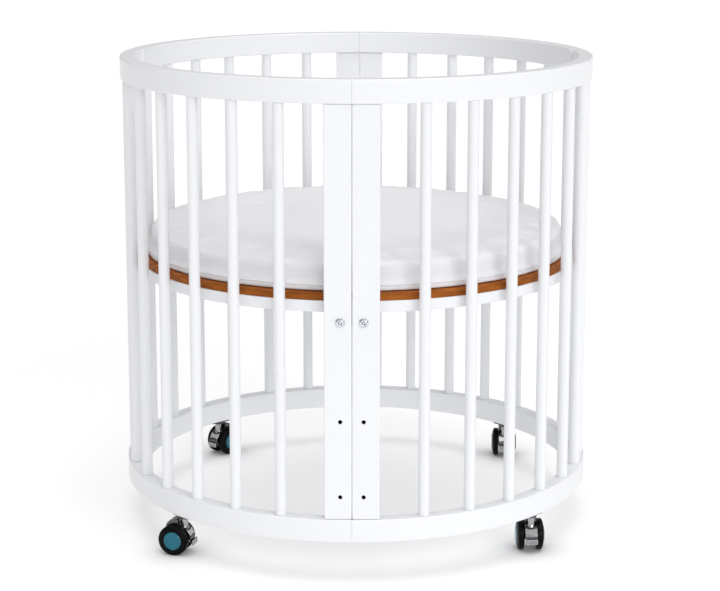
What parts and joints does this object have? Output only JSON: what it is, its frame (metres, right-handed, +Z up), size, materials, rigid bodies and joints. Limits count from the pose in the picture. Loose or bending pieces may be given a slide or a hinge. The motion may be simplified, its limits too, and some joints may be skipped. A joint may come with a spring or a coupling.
{
  "type": "round baby crib",
  "caption": "Round white wooden crib of two joined halves with upright rods, a raised mattress on a stained panel and swivel casters.",
  "frame": {"origin": "on the floor under the middle of the ring", "axes": "+Z up, -Y to the front seam, +X to the right seen from the front"},
  "size_m": [0.8, 0.802, 0.7975],
  "materials": {
    "white_lacquer": "satin white lacquer over solid wood",
    "stained_wood": "orange-brown stain with visible grain, satin",
    "mattress_cloth": "white woven cover, matte",
    "black_plastic": "black moulded wheel, satin",
    "teal_gloss": "teal hub caps, glossy",
    "caster_metal": "gunmetal plated, semi-gloss",
    "zinc": "zinc plated, bright"
  },
  "bodies": {
    "crib_frame": {"bottom_rail_left": "white_lacquer", "bottom_rail_right": "white_lacquer", "top_rail_left": "white_lacquer", "top_rail_right": "white_lacquer", "post_front_left": "white_lacquer", "post_front_right": "white_lacquer", "post_rear_left": "white_lacquer", "post_rear_right": "white_lacquer", "rod_left_01": "white_lacquer", "rod_left_02": "white_lacquer", "rod_left_03": "white_lacquer", "rod_left_04": "white_lacquer", "rod_left_05": "white_lacquer", "rod_left_06": "white_lacquer", "rod_left_07": "white_lacquer", "rod_left_08": "white_lacquer", "rod_left_09": "white_lacquer", "rod_left_10": "white_lacquer", "rod_left_11": "white_lacquer", "rod_left_12": "white_lacquer", "rod_left_13": "white_lacquer", "rod_left_14": "white_lacquer", "rod_right_01": "white_lacquer", "rod_right_02": "white_lacquer", "rod_right_03": "white_lacquer", "rod_right_04": "white_lacquer", "rod_right_05": "white_lacquer", "rod_right_06": "white_lacquer", "rod_right_07": "white_lacquer", "rod_right_08": "white_lacquer", "rod_right_09": "white_lacquer", "rod_right_10": "white_lacquer", "rod_right_11": "white_lacquer", "rod_right_12": "white_lacquer", "rod_right_13": "white_lacquer", "rod_right_14": "white_lacquer", "base_board": "white_lacquer", "base_beam": "white_lacquer", "base_panel": "stained_wood", "bolt_front_left": "zinc", "bolt_front_right": "zinc", "bolt_rear_left": "zinc", "bolt_rear_right": "zinc", "caster_front_left_plate": "caster_metal", "caster_front_right_plate": "caster_metal", "caster_rear_left_plate": "caster_metal", "caster_rear_right_plate": "caster_metal"},
    "front_left_swivel": {"caster_front_left_hood": "caster_metal"},
    "front_left_wheels": {"caster_front_left_wheels": "black_plastic"},
    "front_left_brake": {"caster_front_left_lever": "zinc"},
    "front_right_swivel": {"caster_front_right_hood": "caster_metal"},
    "front_right_wheels": {"caster_front_right_wheels": "black_plastic"},
    "front_right_brake": {"caster_front_right_lever": "zinc"},
    "rear_left_swivel": {"caster_rear_left_hood": "caster_metal"},
    "rear_left_wheels": {"caster_rear_left_wheels": "black_plastic"},
    "rear_left_brake": {"caster_rear_left_lever": "zinc"},
    "rear_right_swivel": {"caster_rear_right_hood": "caster_metal"},
    "rear_right_wheels": {"caster_rear_right_wheels": "black_plastic"},
    "rear_right_brake": {"caster_rear_right_lever": "zinc"},
    "mattress": {"mattress": "mattress_cloth"}
  },
  "joints": [
    {"name": "front_left_swivel_turn", "type": "hinge", "parent": "crib_frame", "child": "front_left_swivel", "pos_m": [-0.27731, -0.26779, 0.05], "axis": [0, 0, 1], "continuous": true},
    {"name": "front_left_wheels_roll", "type": "hinge", "parent": "front_left_swivel", "child": "front_left_wheels", "pos_m": [-0.29083, -0.26417, 0.0254], "axis": [0.2588, 0.9659, 0], "continuous": true},
    {"name": "front_left_brake_press", "type": "hinge", "parent": "front_left_swivel", "child": "front_left_brake", "pos_m": [-0.27054, -0.2696, 0.0285], "axis": [0.2588, 0.9659, 0], "range_deg": [0, 12]},
    {"name": "front_right_swivel_turn", "type": "hinge", "parent": "crib_frame", "child": "front_right_swivel", "pos_m": [0.29182, -0.25189, 0.05], "axis": [0, 0, 1], "continuous": true},
    {"name": "front_right_wheels_roll", "type": "hinge", "parent": "front_right_swivel", "child": "front_right_wheels", "pos_m": [0.29109, -0.23791, 0.0254], "axis": [0.9986, 0.0523, 0], "continuous": true},
    {"name": "front_right_brake_press", "type": "hinge", "parent": "front_right_swivel", "child": "front_right_brake", "pos_m": [0.29219, -0.25888, 0.0285], "axis": [0.9986, 0.0523, 0], "range_deg": [0, 12]},
    {"name": "rear_left_swivel_turn", "type": "hinge", "parent": "crib_frame", "child": "rear_left_swivel", "pos_m": [-0.26779, 0.27731, 0.05], "axis": [0, 0, 1], "continuous": true},
    {"name": "rear_left_wheels_roll", "type": "hinge", "parent": "rear_left_swivel", "child": "rear_left_wheels", "pos_m": [-0.25861, 0.28787, 0.0254], "axis": [0.7547, -0.6561, 0], "continuous": true},
    {"name": "rear_left_brake_press", "type": "hinge", "parent": "rear_left_swivel", "child": "rear_left_brake", "pos_m": [-0.27238, 0.27202, 0.0285], "axis": [0.7547, -0.6561, 0], "range_deg": [0, 12]},
    {"name": "rear_right_swivel_turn", "type": "hinge", "parent": "crib_frame", "child": "rear_right_swivel", "pos_m": [0.27731, 0.26779, 0.05], "axis": [0, 0, 1], "continuous": true},
    {"name": "rear_right_wheels_roll", "type": "hinge", "parent": "rear_right_swivel", "child": "rear_right_wheels", "pos_m": [0.27779, 0.28178, 0.0254], "axis": [0.9994, -0.0349, 0], "continuous": true},
    {"name": "rear_right_brake_press", "type": "hinge", "parent": "rear_right_swivel", "child": "rear_right_brake", "pos_m": [0.27706, 0.26079, 0.0285], "axis": [0.9994, -0.0349, 0], "range_deg": [0, 12]},
    {"name": "mattress_lift", "type": "slide", "parent": "crib_frame", "child": "mattress", "axis": [0, 0, 1], "range_m": [0, 0.36]}
  ]
}
